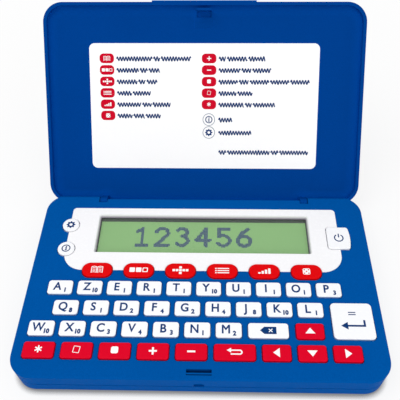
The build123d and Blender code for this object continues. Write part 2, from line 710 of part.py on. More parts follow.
def lid_label():
    """The printed card stuck to the floor of the lid."""
    y = AXIS_Y - LABEL_FROM_HINGE - LABEL_L / 2
    return opened(prism(rounded(LABEL_W, LABEL_L, LABEL_R, 0, y), LID_FLOOR_Z - LABEL_T, LID_FLOOR_Z))


os.makedirs("parts", exist_ok=True)

PARTS = {
    "top_case": top_case,
    "bottom_case": bottom_case,
    "case_screws": case_screws,
    "display_bezel": display_bezel,
    "display_window": display_window,
    "lcd_module": lcd_module,
    "circuit_board": circuit_board,
    "key_mat": key_mat,
    "batteries": batteries,
    "battery_contacts": battery_contacts,
    "battery_cover": battery_cover,
    "lid_shell": lid_shell,
    "lid_label": lid_label,
}

for node, make in PARTS.items():
    export_step(make(), f"parts/{node}.step")

for name, x, y, outline in KEYS:
    export_step(key(x, y, outline), f"parts/key_{name}.step")
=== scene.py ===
import json
import math

import bmesh
import bpy
from mathutils import Matrix, Vector, geometry


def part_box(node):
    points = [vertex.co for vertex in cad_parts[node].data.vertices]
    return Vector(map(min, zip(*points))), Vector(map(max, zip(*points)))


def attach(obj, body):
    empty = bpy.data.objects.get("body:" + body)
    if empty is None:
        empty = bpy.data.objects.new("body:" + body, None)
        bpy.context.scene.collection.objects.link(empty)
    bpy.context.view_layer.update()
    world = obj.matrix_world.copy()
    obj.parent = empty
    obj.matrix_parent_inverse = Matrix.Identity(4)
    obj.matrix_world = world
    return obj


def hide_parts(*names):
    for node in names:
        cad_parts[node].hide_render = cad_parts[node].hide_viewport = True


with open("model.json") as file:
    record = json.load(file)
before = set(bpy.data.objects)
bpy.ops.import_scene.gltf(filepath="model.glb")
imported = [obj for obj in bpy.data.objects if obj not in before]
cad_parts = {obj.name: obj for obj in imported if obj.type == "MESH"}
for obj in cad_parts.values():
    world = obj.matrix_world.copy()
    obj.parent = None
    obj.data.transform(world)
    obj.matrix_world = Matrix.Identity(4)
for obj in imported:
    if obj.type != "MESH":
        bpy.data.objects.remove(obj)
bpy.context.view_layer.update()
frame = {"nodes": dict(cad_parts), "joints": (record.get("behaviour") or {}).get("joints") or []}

# The looks of a pocket electronic dictionary. Scene units are metres, and flat prints are
# drawn in millimetres before they are put in place.
MM = 0.001

# How thick ink is, and how far it lies off its surface
INK_THICK = 0.02
LIFT = 0.004

# The kind of triangulation that leaves out holes
FILL_WITH_HOLES = 2

# Corners of a drawing that lie closer than this are one: along an outline, and in a whole mesh
OUTLINE_SEAM = 1e-4
MESH_SEAM = 1e-5

# Materials

# The range in which most values of a noise texture fall
NOISE_RANGE = (0.3, 0.7)

# The share of open space around a point on a flat wall and in a deep corner, and how many
# millimetres around it are looked at
OPEN_TO_CORNER = (1.0, 0.5)
CORNER_REACH = 5

# The lattice of the display's dots
DOT_PITCH = 0.6


def srgb(red, green, blue):
    """A screen colour from 0 to 255, as the linear colour that shaders use."""
    def linear(level):
        level /= 255
        return level / 12.92 if level <= 0.04045 else ((level + 0.055) / 1.055) ** 2.4
    return (linear(red), linear(green), linear(blue), 1.0)


def shade(colour, factor):
    """The same colour, lighter or darker."""
    return tuple(channel * factor for channel in colour[:3]) + (1.0,)


class Finish:
    """A material under construction, with the few node patterns that the finishes share."""

    def __init__(self, name):
        self.material = bpy.data.materials.new(name)
        self.material.use_nodes = True
        self.tree = self.material.node_tree
        self.shader = self.tree.nodes["Principled BSDF"]

    def link(self, source, target):
        self.tree.links.new(source, target)

    def node(self, kind, **inputs):
        made = self.tree.nodes.new(kind)
        for name, value in inputs.items():
            made.inputs[name.replace("_", " ")].default_value = value
        return made

    def coordinates(self, stretch=(1, 1, 1)):
        """Object coordinates, drawn out along the axes."""
        place = self.tree.nodes.new("ShaderNodeTexCoord").outputs["Object"]
        mapping = self.node("ShaderNodeMapping", Scale=stretch)
        self.link(place, mapping.inputs["Vector"])
        return mapping.outputs["Vector"]

    def noise(self, size, detail=2.0, stretch=(1, 1, 1)):
        """Noise whose grains are about this many millimetres across."""
        made = self.node("ShaderNodeTexNoise", Scale=1 / (size * MM), Detail=detail)
        self.link(self.coordinates(stretch), made.inputs["Vector"])
        return made.outputs["Fac"]

    def span(self, value, source, target=(0.0, 1.0)):
        """A value moved from one range to another, and held within it."""
        made = self.node("ShaderNodeMapRange", From_Min=source[0], From_Max=source[1],
                         To_Min=target[0], To_Max=target[1])
        self.link(value, made.inputs["Value"])
        return made.outputs["Result"]

    def spread(self, factor, low, high):
        """A noise value moved to a range."""
        return self.span(factor, NOISE_RANGE, (low, high))

    def mix(self, factor, first, second):
        """Two colours blended by a pattern."""
        made = self.tree.nodes.new("ShaderNodeMix")
        made.data_type = "RGBA"
        ends = [socket for socket in made.inputs if socket.type == "RGBA"]
        for end, colour in zip(ends, (first, second)):
            if isinstance(colour, bpy.types.NodeSocket):
                self.link(colour, end)
            else:
                end.default_value = colour
        self.link(factor, made.inputs["Factor"])
        return next(socket for socket in made.outputs if socket.type == "RGBA")

    def depth(self, top, bottom):
        """How deep a point lies between two heights in millimetres, from 0 to 1."""
        height = self.tree.nodes.new("ShaderNodeSeparateXYZ")
        self.link(self.coordinates(), height.inputs[0])
        return self.span(height.outputs["Z"], (top * MM, bottom * MM))

    def space(self, reach):
        """The share of open space around a point, within some millimetres."""
        return self.node("ShaderNodeAmbientOcclusion", Distance=reach * MM).outputs["AO"]

    def shelter(self, reach):
        """How closely other walls stand around a point, from 0 to 1, within some millimetres."""
        return self.span(self.space(reach), OPEN_TO_CORNER)

    def relief(self, height, depth):
        """A bump of this many millimetres."""
        made = self.node("ShaderNodeBump", Strength=1.0, Distance=depth * MM)
        self.link(height, made.inputs["Height"])
        self.link(made.outputs["Normal"], self.shader.inputs["Normal"])

    def set(self, **inputs):
        for name, value in inputs.items():
            self.shader.inputs[name.replace("_", " ")].default_value = value

    def colour(self, socket):
        self.link(socket, self.shader.inputs["Base Color"])

    def roughness(self, pattern, low, high):
        """A roughness that goes from low to high with a noise pattern."""
        self.link(self.spread(pattern, low, high), self.shader.inputs["Roughness"])


def satin_plastic(name, colour, inner=1.0):
    """Moulded plastic with a fine spark-eroded grain and faint flow shading.

    Its inner corners can take painted light: lighter by a factor, against the shade that falls in them.
    """
    finish = Finish(name)
    flow = finish.mix(finish.noise(size=26, detail=3), colour, shade(colour, 1.13))
    if inner > 1.0:
        # Painted light: inner corners, found by their ambient occlusion, are lightened against the shade
        # there
        flow = finish.mix(finish.shelter(CORNER_REACH), flow, shade(colour, inner))
    grain = finish.noise(size=0.42, detail=3)
    finish.colour(finish.mix(finish.spread(grain, 0.0, 0.3), flow, shade(colour, 0.6)))
    finish.roughness(finish.noise(size=3.5, detail=4), 0.36, 0.46)
    finish.relief(grain, depth=0.045)
    finish.set(Specular_IOR_Level=0.005)
    return finish.material


def gloss_plastic(name, colour, roughness, shine, recess=None, heights=None):
    """Smooth moulded plastic with a slight orange peel and faint handling marks.

    It can take a painted shade in its recesses: another colour between two heights in millimetres.
    """
    finish = Finish(name)
    surface = finish.mix(finish.noise(size=9, detail=3), shade(colour, 0.975), colour)
    if recess:
        # Painted shade: the colour turns to the recess colour with depth
        surface = finish.mix(finish.depth(*heights), surface, recess)
    finish.colour(surface)
    marks = finish.noise(size=1.4, detail=4)
    finish.roughness(marks, roughness - 0.03, roughness + 0.07)
    finish.relief(finish.noise(size=1.6, detail=1), depth=0.001)
    finish.set(Specular_IOR_Level=shine)
    return finish.material


def ink(name, colour):
    """Screen-printed ink: dense, a little rough, with the fine grain of the mesh."""
    finish = Finish(name)
    finish.colour(finish.mix(finish.noise(size=0.35), shade(colour, 0.93), shade(colour, 1.04)))
    finish.roughness(finish.noise(size=0.5), 0.42, 0.56)
    finish.relief(finish.noise(size=0.12, detail=1), depth=0.0015)
    finish.set(Specular_IOR_Level=0.06)
    return finish.material


def brushed_metal(name, colour, roughness, stretch):
    """Metal drawn or brushed along one direction."""
    finish = Finish(name)
    lines = finish.noise(size=0.12, detail=3, stretch=stretch)
    finish.colour(finish.mix(lines, shade(colour, 0.85), shade(colour, 1.05)))
    finish.roughness(lines, roughness - 0.06, roughness + 0.1)
    finish.relief(lines, depth=0.002)
    finish.set(Metallic=1.0)
    return finish.material


def card():
    """White laminated card with a trace of fibre."""
    finish = Finish("label_card")
    white = srgb(252, 252, 253)
    fibre = finish.noise(size=0.6, detail=5, stretch=(1, 0.35, 1))
    finish.colour(finish.mix(fibre, shade(white, 0.97), white))
    finish.roughness(finish.noise(size=4, detail=3), 0.34, 0.42)
    finish.relief(finish.noise(size=0.3, detail=4), depth=0.002)
    return finish.material


def display_glass():
    """Green reflective display with a faint lattice of unlit dots."""
    finish = Finish("display_green")
    lattice = finish.node("ShaderNodeTexBrick", Scale=1 / MM, Mortar_Size=0.05,
                          Brick_Width=DOT_PITCH, Row_Height=DOT_PITCH)
    lattice.offset = 0
    lattice.squash = 1
    finish.link(finish.coordinates(), lattice.inputs["Vector"])
    green = srgb(134, 181, 116)
    lattice.inputs["Color1"].default_value = green
    lattice.inputs["Color2"].default_value = shade(green, 0.97)
    lattice.inputs["Mortar"].default_value = shade(green, 1.05)
    finish.colour(lattice.outputs["Color"])
    finish.roughness(finish.noise(size=6), 0.3, 0.38)
    finish.set(Specular_IOR_Level=0.15)
    return finish.material


def clear_acrylic():
    """The clear lens, nearly all see-through."""
    finish = Finish("clear_acrylic")
    finish.colour(finish.mix(finish.noise(size=12), srgb(238, 246, 240), srgb(246, 250, 247)))
    finish.roughness(finish.noise(size=2, detail=3), 0.03, 0.07)
    finish.set(Alpha=0.03, Specular_IOR_Level=0.4)
    return finish.material


def rubber():
    """Grey silicone with a dusty surface."""
    finish = Finish("grey_silicone")
    grey = srgb(170, 171, 175)
    finish.colour(finish.mix(finish.noise(size=5, detail=3), shade(grey, 0.93), grey))
    finish.roughness(finish.noise(size=0.8, detail=3), 0.6, 0.75)
    finish.relief(finish.noise(size=0.3), depth=0.004)
    return finish.material


def solder_mask():
    """Green board with copper tracks showing through the mask."""
    finish = Finish("solder_mask")
    tracks = finish.node("ShaderNodeTexBrick", Scale=1 / MM, Mortar_Size=0.25,
                         Brick_Width=5.0, Row_Height=1.8)
    finish.link(finish.coordinates(), tracks.inputs["Vector"])
    tracks.inputs["Color1"].default_value = srgb(22, 96, 48)
    tracks.inputs["Color2"].default_value = srgb(24, 102, 52)
    tracks.inputs["Mortar"].default_value = srgb(60, 140, 78)
    finish.colour(tracks.outputs["Color"])
    finish.roughness(finish.noise(size=2, detail=3), 0.28, 0.4)
    return finish.material


BLUE_CASE = satin_plastic("blue_case_plastic", srgb(0, 82, 160))
# The lid is the case's plastic, written darker as painted shade for its inner face, with painted light in
# its inner corners
SHADED_BLUE_LID = satin_plastic("blue_lid_plastic_shaded", srgb(0, 62, 140), inner=1.6)
# The window's bevel takes a painted grey shade below its top edge
WHITE_PANEL = gloss_plastic("white_panel_plastic", srgb(251, 251, 253), roughness=0.24, shine=0.2,
                            recess=srgb(152, 144, 158), heights=(12.3, 11.3))
# The key sides take a painted bluish shade, standing in for shade and the blue deck's reflection
WHITE_KEY = gloss_plastic("white_key_plastic", srgb(251, 252, 255), roughness=0.24, shine=0.2,
                          recess=srgb(150, 180, 222), heights=(13.0, 12.6))
PANEL_KEY = gloss_plastic("panel_key_plastic", srgb(251, 252, 255), roughness=0.24, shine=0.2)
RED_MENU = gloss_plastic("red_menu_plastic", srgb(226, 0, 6), roughness=0.28, shine=0.06)
RED_COMMAND = gloss_plastic("red_command_plastic", srgb(222, 0, 38), roughness=0.28, shine=0.05)
NAVY = ink("navy_ink", srgb(5, 54, 112))
WHITE = ink("white_ink", srgb(253, 253, 253))
RED = ink("red_ink", srgb(204, 0, 38))
GREY = ink("grey_ink", srgb(102, 118, 140))
SEGMENT = ink("display_segments", srgb(60, 82, 112))
# A dark ink that stands in for the shadow of the window's edge on the glass: painted shadow
SHADOW_LINE = ink("display_border", srgb(62, 74, 66))
CARD = card()
CELL = brushed_metal("cell_steel", srgb(205, 206, 210), roughness=0.28, stretch=(1, 8, 1))
SPRING = brushed_metal("contact_steel", srgb(214, 208, 190), roughness=0.3, stretch=(8, 1, 1))
SCREW = brushed_metal("screw_steel", srgb(92, 94, 100), roughness=0.4, stretch=(1, 1, 6))

NODE_MATERIALS = {
    "top_case": BLUE_CASE,
    "bottom_case": BLUE_CASE,
    "battery_cover": BLUE_CASE,
    "lid_shell": SHADED_BLUE_LID,
    "lid_label": CARD,
    "display_bezel": WHITE_PANEL,
    "display_window": clear_acrylic(),
    "lcd_module": display_glass(),
    "circuit_board": solder_mask(),
    "key_mat": rubber(),
    "batteries": CELL,
    "battery_contacts": SPRING,
    "case_screws": SCREW,
    "key_settings": PANEL_KEY,
    "key_information": PANEL_KEY,
    "key_power": PANEL_KEY,
}

MENU_KEYS = ("dictionary", "build_word", "place_word", "list", "score", "games")
COMMAND_KEYS = ("any_letter", "blank_tile", "full_tile", "bonus", "deduct", "return",
                "left", "down", "right", "up")


def dress_nodes():
    """Gives every solid of the frame its finish."""
    for name, node in frame["nodes"].items():
        key = name.removeprefix("key_")
        if key in MENU_KEYS:
            material = RED_MENU
        elif key in COMMAND_KEYS:
            material = RED_COMMAND
        else:
            material = NODE_MATERIALS.get(name, WHITE_KEY)
        node.data.materials.clear()
        node.data.materials.append(material)


# Flat shapes, as lists of points in millimetres

# Steps in the round corner of a bar
CORNER_STEPS = 6

# The least cosine by which the corners of a band and of a thickened letter are drawn out
BAND_LIMIT = 0.3
LETTER_LIMIT = 0.5

# Half the width of a gear's tooth at its foot and at its tip, in shares of the pitch
TOOTH_FOOT = 0.3
TOOTH_TIP = 0.2

# The height and the steps of the bulge of a book's page
PAGE_BULGE = 0.32
PAGE_STEPS = 8

# The corner radius of a tile and of its hole, in shares of their size
TILE_ROUND = 0.14
HOLE_ROUND = 0.1


def circle(x, y, radius, steps=40):
    angles = [2 * math.pi * i / steps for i in range(steps)]
    return [(x + radius * math.cos(angle), y + radius * math.sin(angle)) for angle in angles]


def arc(x, y, radius, start, end, steps=16):
    """Points along an arc, in degrees."""
    angles = [math.radians(start + (end - start) * i / steps) for i in range(steps + 1)]
    return [(x + radius * math.cos(angle), y + radius * math.sin(angle)) for angle in angles]


def turned(points, turn, x=0.0, y=0.0):
    """Points turned by degrees about the origin, then moved."""
    cosine = math.cos(math.radians(turn))
    sine = math.sin(math.radians(turn))
    return [(x + across * cosine - up * sine, y + across * sine + up * cosine) for across, up in points]


def bar(x, y, width, height, radius=0.0, turn=0.0):
    """A rectangle about a point, with round corners, turned by degrees."""
    right = width / 2 - radius
    top = height / 2 - radius
    points = []
    for across, up, start in ((right, top, 0), (-right, top, 90), (-right, -top, 180), (right, -top, 270)):
        if radius:
            points += arc(across, up, radius, start, start + 90, CORNER_STEPS)
        else:
            points.append((across, up))
    return turned(points, turn, x, y)


def band(points, width):
    """A line of even width along points, with square ends."""
    path = [Vector(point) for point in points]
    left, right = [], []
    for i, point in enumerate(path):
        before = (point - path[i - 1]).normalized() if i else None
        after = (path[i + 1] - point).normalized() if i + 1 < len(path) else None
        along = ((before or after) + (after or before)).normalized()
        across = Vector((-along.y, along.x))
        edge = before or after
        reach = width / 2 / max(across.dot(Vector((-edge.y, edge.x))), BAND_LIMIT)
        left.append(tuple(point + across * reach))
        right.append(tuple(point - across * reach))
    return left + right[::-1]


def star(arms, radius, width, x=0.0, y=0.0, turn=0.0):
    """Crossed bars: an asterisk, a plus or a cross."""
    half = width / 2
    notch = half / math.sin(math.pi / arms)
    points = []
    for i in range(arms):
        angle = math.radians(turn) + 2 * math.pi * i / arms
        cosine = math.cos(angle)
        sine = math.sin(angle)
        points += [(x + radius * cosine + half * sine, y + radius * sine - half * cosine),
                   (x + radius * cosine - half * sine, y + radius * sine + half * cosine)]
        between = angle + math.pi / arms
        points.append((x + notch * math.cos(between), y + notch * math.sin(between)))
    return points


def gear(teeth, outer, inner):
    """A toothed wheel outline."""
    tooth = ((-TOOTH_FOOT, inner), (-TOOTH_TIP, outer), (TOOTH_TIP, outer), (TOOTH_FOOT, inner))
    corners = [(2 * math.pi * (i + share) / teeth, radius) for i in range(teeth) for share, radius in tooth]
    return [(radius * math.cos(angle), radius * math.sin(angle)) for angle, radius in corners]


def page(side):
    """One page of an open book: a frame with three lines of print in it."""
    def leaf(inner, outer, top, bottom):
        spans = [inner + (outer - inner) * i / PAGE_STEPS for i in range(PAGE_STEPS + 1)]
        rise = [(side * x, PAGE_BULGE * math.sin(math.pi * (x - inner) / (outer - inner))) for x in spans]
        return [(x, top + y) for x, y in rise] + [(x, bottom + y) for x, y in reversed(rise)]
    border = [leaf(inner=0.08, outer=2.5, top=1.4, bottom=-1.75),
              leaf(inner=0.4, outer=2.18, top=1.12, bottom=-1.5)]
    lines = [[bar(side * 1.3, y, 1.2, 0.3)] for y in (0.85, 0.05, -0.75)]
    return [border, *lines]


# Pictograms: each is a list of plates, and a plate is an outline followed by its holes

def triangle(turn):
    """A solid arrow head that points up at no turn."""
    return [turned([(-1.95, -1.1), (1.95, -1.1), (0, 1.45)], turn)]


def tile(x, y, size, hole=0.0):
    """A game tile, solid or outlined."""
    outlines = [bar(x, y, size, size, size * TILE_ROUND)]
    if hole:
        outlines.append(bar(x, y, hole, hole, hole * HOLE_ROUND))
    return outlines


def rising_bar(step):
    """One of a row of bars, each taller than the last."""
    height = 0.8 + 0.65 * step
    return [bar(-2.1 + 1.4 * step, -1.4 + height / 2, 1.0, height, 0.12)]


PICTOGRAMS = {
    "dictionary": page(-1) + page(1),
    "build_word": [tile(-2.75, 0, 2.3), tile(0, 0, 2.3), tile(2.75, 0, 2.3, hole=1.5)],
    "place_word": [tile(x, 0, 1.15) for x in (-2.8, -1.4, 0, 1.4, 2.8)]
                  + [tile(0, y, 1.15) for y in (-1.4, 1.4)],
    "list": [[circle(-2.7, y, 0.34)] for y in (1.1, 0, -1.1)]
            + [[bar(0.4, y, 5.0, 0.5, 0.2)] for y in (1.1, 0, -1.1)],
    "score": [rising_bar(step) for step in range(4)],
    "games": [[bar(0, 0, 3.1, 3.1, 0.6), circle(0, 0, 0.32)]
              + [circle(0.9 * i, 0.9 * j, 0.32) for i in (-1, 1) for j in (-1, 1)]],
    "any_letter": [[star(6, 1.5, 0.55, y=0.2, turn=90)]],
    "blank_tile": [[bar(0, 0.2, 2.6, 2.9, 0.3, turn=-8), bar(0, 0.2, 2.1, 2.4, 0.12, turn=-8)]],
    "full_tile": [[bar(0, 0.2, 2.8, 2.9, 0.7)]],
    "bonus": [[star(4, 1.55, 0.75)]],
    "deduct": [[bar(0, 0, 3.1, 0.75)]],
    "return": [[band([(-1.4, 0.75), *arc(1.9, -0.05, 0.8, 90, -90), (-1.6, -0.85)], 0.55)],
               [[(-3.1, 0.75), (-1.4, -0.25), (-1.4, 1.75)]]],
    "up": [triangle(0)],
    "left": [triangle(90)],
    "down": [triangle(180)],
    "right": [triangle(-90)],
    "erase": [[[(-3.3, 0), (-1.6, 1.6), (3.1, 1.6), (3.1, -1.6), (-1.6, -1.6)],
               star(4, 1.0, 0.42, x=0.85, turn=45)]],
    "enter": [[bar(0, 3.75, 2.9, 0.42)], [bar(0, 2.75, 2.9, 0.42)],
              [band([(4.4, 0.3), (4.4, -2.3), (-2.2, -2.3)], 0.8)],
              [[(-4.9, -2.3), (-2.2, -4.0), (-2.2, -0.6)]]],
    "settings": [[gear(8, 2.0, 1.55), circle(0, 0, 0.75)]],
    "information": [[circle(0, 0, 1.95), circle(0, 0, 1.48)],
                    [circle(0.12, 0.9, 0.31, steps=16)],
                    [[(-0.4, 0.46), (0.38, 0.46), (0.24, -0.78), (0.52, -0.78), (0.46, -1.1),
                      (-0.52, -1.1), (-0.46, -0.78), (-0.24, -0.78), (-0.16, 0.14), (-0.44, 0.14)]]],
    "power": [[band(arc(0, -0.1, 1.85, 58, -238, steps=32), 0.52)], [bar(0, 1.2, 0.52, 2.1, 0.1)]],
}


# Meshes

def finished(mesh):
    """Closes the seams of a mesh and turns its faces outwards."""
    form = bmesh.new()
    form.from_mesh(mesh)
    bmesh.ops.remove_doubles(form, verts=form.verts, dist=MESH_SEAM)
    bmesh.ops.recalc_face_normals(form, faces=form.faces)
    form.to_mesh(mesh)
    form.free()
    return mesh


def plate(outlines, thickness=INK_THICK):
    """A closed plate inside its outlines, with holes where one lies in another."""
    points, loops = [], []
    for outline in outlines:
        loops.append(list(range(len(points), len(points) + len(outline))))
        points += [Vector(point) for point in outline]
    corners, _, faces, *_ = geometry.delaunay_2d_cdt(points, [], loops, FILL_WITH_HOLES, OUTLINE_SEAM)
    form = bmesh.new()
    below = [form.verts.new((*corner, 0)) for corner in corners]
    base = [form.faces.new([below[i] for i in face]) for face in faces]
    raised = bmesh.ops.extrude_face_region(form, geom=base, use_keep_orig=True)["geom"]
    above = [part for part in raised if isinstance(part, bmesh.types.BMVert)]
    bmesh.ops.translate(form, verts=above, vec=(0, 0, thickness))
    bmesh.ops.delete(form, geom=[corner for corner in form.verts if not corner.link_faces], context="VERTS")
    mesh = bpy.data.meshes.new("plate")
    form.to_mesh(mesh)
    form.free()
    return finished(mesh)


# The share of a font's size that its capitals take, how narrow its letters are drawn, and the
# steps of each of their curves
CAP_SHARE = 0.682
LETTER_NARROW = 0.88
LETTER_STEPS = 4


def letter_outlines(body, height):
    """The outlines of characters of a cap height, each with its ink on the left."""
    text = bpy.data.curves.new("text", "FONT")
    text.body = body
    text.size = height / CAP_SHARE
    text.align_x = "CENTER"
    text.resolution_u = LETTER_STEPS
    holder = bpy.data.objects.new("text", text)
    bpy.context.scene.collection.objects.link(holder)
    graph = bpy.context.evaluated_depsgraph_get()
    form = bmesh.new()
    form.from_mesh(bpy.data.meshes.new_from_object(holder.evaluated_get(graph)))
    bpy.data.objects.remove(holder)
    bmesh.ops.remove_doubles(form, verts=form.verts, dist=OUTLINE_SEAM)
    following = {}
    for edge in form.edges:
        if edge.is_boundary:
            side = edge.link_loops[0]
            following[side.vert] = side.link_loop_next.vert
    outlines = []
    while following:
        corner = next(iter(following))
        outlines.append([])
        while corner in following:
            outlines[-1].append((corner.co.x * LETTER_NARROW, corner.co.y))
            corner = following.pop(corner)
    form.free()
    return outlines


def swollen(outline, weight):
    """An outline moved away from the ink on its left, without steps shorter than the move."""
    path = []
    for point in map(Vector, outline):
        if not path or min((point - path[0]).length, (point - path[-1]).length) > weight:
            path.append(point)
    moved_path = []
    for i, point in enumerate(path):
        along = [(point - path[i - 1]).normalized(), (path[(i + 1) % len(path)] - point).normalized()]
        before, after = (Vector((way.y, -way.x)) for way in along)
        out = (before + after).normalized()
        moved_path.append(point + out * weight / max(out.dot(after), LETTER_LIMIT))
    return moved_path


def lettering(body, height, x, y, weight):
    """Raised characters of a cap height, centred about a point, with their strokes thickened."""
    outlines = [swollen(outline, weight) for outline in letter_outlines(body, height)]
    return moved(plate(outlines), Matrix.Translation((x, y - height / 2, 0)))


def moved(mesh, matrix):
    mesh.transform(matrix)
    return mesh


def joined(meshes):
    """One mesh from several."""
    form = bmesh.new()
    for mesh in meshes:
        form.from_mesh(mesh)
    whole = bpy.data.meshes.new("joined")
    form.to_mesh(whole)
    form.free()
    return whole


def pictogram(name, scale=1.0, x=0.0, y=0.0):
    """A pictogram drawn to a scale about a point."""
    place = Matrix.Translation((x, y, 0)) @ Matrix.Diagonal((scale, scale, 1, 1))
    return moved(joined([plate(outlines) for outlines in PICTOGRAMS[name]]), place)


def piece(name, mesh, material, body, place):
    """Puts a mesh drawn in millimetres where it belongs, on the body that carries it."""
    mesh.transform(place @ Matrix.Scale(MM, 4))
    mesh.materials.clear()
    mesh.materials.append(material)
    made = bpy.data.objects.new(name, mesh)
    bpy.context.scene.collection.objects.link(made)
    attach(made, body)
    return made


# Geometry node trees for what repeats or follows a line

class Tree:
    """A geometry node tree with named inputs for its sizes, ended as a plain mesh."""

    def __init__(self, name, sizes, objects=()):
        self.group = bpy.data.node_groups.new(name, "GeometryNodeTree")
        face = self.group.interface
        inputs = [("Geometry", "Geometry"), ("Material", "Material")]
        inputs += [(size, "Float") for size in sizes]
        inputs += [(item, "Object") for item in objects]
        for label, kind in inputs:
            face.new_socket(label, in_out="INPUT", socket_type="NodeSocket" + kind)
        face.new_socket("Geometry", in_out="OUTPUT", socket_type="NodeSocketGeometry")
        self.given = self.group.nodes.new("NodeGroupInput")
        self.result = self.group.nodes.new("NodeGroupOutput")

    def node(self, kind, **links):
        """A node whose inputs come from sockets or plain values."""
        made = self.group.nodes.new(kind)
        for name, value in links.items():
            self.feed(made.inputs[name.replace("_", " ")], value)
        return made

    def feed(self, socket, value):
        if isinstance(value, bpy.types.NodeSocket):
            self.group.links.new(value, socket)
        else:
            socket.default_value = value

    def size(self, name):
        return self.given.outputs[name]

    def maths(self, operation, *values):
        made = self.group.nodes.new("ShaderNodeMath")
        made.operation = operation
        for socket, value in zip(made.inputs, values):
            self.feed(socket, value)
        return made.outputs[0]

    def end(self, geometry):
        real = self.node("GeometryNodeRealizeInstances", Geometry=geometry)
        dressed = self.node("GeometryNodeSetMaterial", Geometry=real.outputs[0])
        self.feed(dressed.inputs["Material"], self.size("Material"))
        self.group.links.new(dressed.outputs[0], self.result.inputs[0])

    def run(self, mesh, material, sizes):
        """The tree's result on a mesh, as a plain mesh."""
        holder = bpy.data.objects.new("holder", mesh)
        bpy.context.scene.collection.objects.link(holder)
        modifier = holder.modifiers.new("shape", "NODES")
        modifier.node_group = self.group
        values = {"Material": material, **sizes}
        for item in self.group.interface.items_tree:
            if item.in_out == "INPUT" and item.name in values:
                modifier[item.identifier] = values[item.name]
        graph = bpy.context.evaluated_depsgraph_get()
        result = bpy.data.meshes.new_from_object(holder.evaluated_get(graph))
        holder.modifiers.clear()
        bpy.data.objects.remove(holder)
        return finished(result)


def block_tree():
    """A block at every point."""
    tree = Tree("blocks", ("Width", "Depth", "Height"))
    extent = tree.node("ShaderNodeCombineXYZ", X=tree.size("Width"), Y=tree.size("Depth"))
    tree.feed(extent.inputs["Z"], tree.size("Height"))
    block = tree.node("GeometryNodeMeshCube", Size=extent.outputs[0]).outputs["Mesh"]
    blocks = tree.node("GeometryNodeInstanceOnPoints", Points=tree.size("Geometry"), Instance=block)
    tree.end(blocks.outputs[0])
    return tree


def screw_tree():
    """A screw at every point, each stopped at another angle."""
    tree = Tree("screws", ("Seed",), ("Screw",))
    screw = tree.node("GeometryNodeObjectInfo", Object=tree.size("Screw")).outputs["Geometry"]
    turn = tree.node("FunctionNodeRandomValue", Max=math.pi)
    angle = next(socket for socket in turn.outputs if socket.enabled)
    tree.feed(turn.inputs["Seed"], tree.size("Seed"))
    spin = tree.node("ShaderNodeCombineXYZ", Z=angle)
    screws = tree.node("GeometryNodeInstanceOnPoints", Points=tree.size("Geometry"), Instance=screw)
    turned_screws = tree.node("GeometryNodeRotateInstances", Instances=screws.outputs[0])
    tree.feed(turned_screws.inputs["Rotation"], spin.outputs[0])
    tree.end(turned_screws.outputs[0])
    return tree


# How soon taller waves come and go, the noise above which waves are taller than usual, and the
# usual swing to each side as a share of the wave height
ASCENT_SCALE = 0.45
ASCENT_LEVEL = 0.45
SWING = 0.5


def wave_tree():
    """A wavy pen stroke along every straight edge, some of its waves taller."""
    sizes = ("Wave Length", "Wave Height", "Ascent", "Stroke Width", "Ink Height", "Step")
    tree = Tree("wavy strokes", sizes)
    lines = tree.node("GeometryNodeMeshToCurve", Mesh=tree.size("Geometry"))
    fine = tree.group.nodes.new("GeometryNodeResampleCurve")
    fine.mode = "LENGTH"
    tree.feed(fine.inputs["Curve"], lines.outputs[0])
    tree.feed(fine.inputs["Length"], tree.size("Step"))
    along = tree.group.nodes.new("GeometryNodeSplineParameter").outputs["Length"]
    turns = tree.maths("DIVIDE", along, tree.size("Wave Length"))
    angle = tree.maths("MULTIPLY", turns, 2 * math.pi)
    place = tree.group.nodes.new("GeometryNodeInputPosition").outputs[0]
    uneven = tree.node("ShaderNodeTexNoise", Vector=place, Scale=ASCENT_SCALE).outputs[0]
    taller = tree.maths("MULTIPLY", tree.maths("SUBTRACT", uneven, ASCENT_LEVEL), tree.size("Ascent"))
    reach = tree.maths("MULTIPLY", tree.size("Wave Height"), tree.maths("ADD", taller, SWING))
    swing = tree.maths("MULTIPLY", tree.maths("SINE", angle), reach)
    offset = tree.node("ShaderNodeCombineXYZ", Y=swing)
    wavy = tree.node("GeometryNodeSetPosition", Geometry=fine.outputs[0], Offset=offset.outputs[0])
    upright = tree.group.nodes.new("GeometryNodeSetCurveNormal")
    upright.mode = "Z_UP"
    tree.feed(upright.inputs["Curve"], wavy.outputs[0])
    nib = tree.node("GeometryNodeCurvePrimitiveQuadrilateral",
                    Width=tree.size("Stroke Width"), Height=tree.size("Ink Height"))
    stroke = tree.node("GeometryNodeCurveToMesh",
                       Curve=upright.outputs[0], Profile_Curve=nib.outputs[0], Fill_Caps=True)
    tree.end(stroke.outputs[0])
    return tree


def points_mesh(points, edges=()):
    mesh = bpy.data.meshes.new("points")
    mesh.from_pydata([(*point, 0) for point in points], edges, [])
    return mesh


# Keys

# Each letter and its value
LETTER_VALUES = {
    "a": 1, "z": 10, "e": 1, "r": 1, "t": 1, "y": 10, "u": 1, "i": 1, "o": 1, "p": 3,
    "q": 8, "s": 1, "d": 2, "f": 4, "g": 2, "h": 4, "j": 8, "k": 10, "l": 1,
    "w": 10, "x": 10, "c": 3, "v": 4, "b": 3, "n": 1, "m": 2,
}

# The cap heights, places on a key and added stroke widths of a letter and of its value
LETTER_HEIGHT = 3.6
LETTER_AT = (-1.1, 0.35)
LETTER_WEIGHT = 0.125
VALUE_HEIGHT = 1.85
VALUE_AT = (2.25, -1.45)
VALUE_WEIGHT = 0.15


def key_face(name):
    """The matrix from a drawing to the middle of a key's top."""
    low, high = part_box("key_" + name)
    return Matrix.Translation(((low.x + high.x) / 2, (low.y + high.y) / 2, high.z + LIFT * MM))


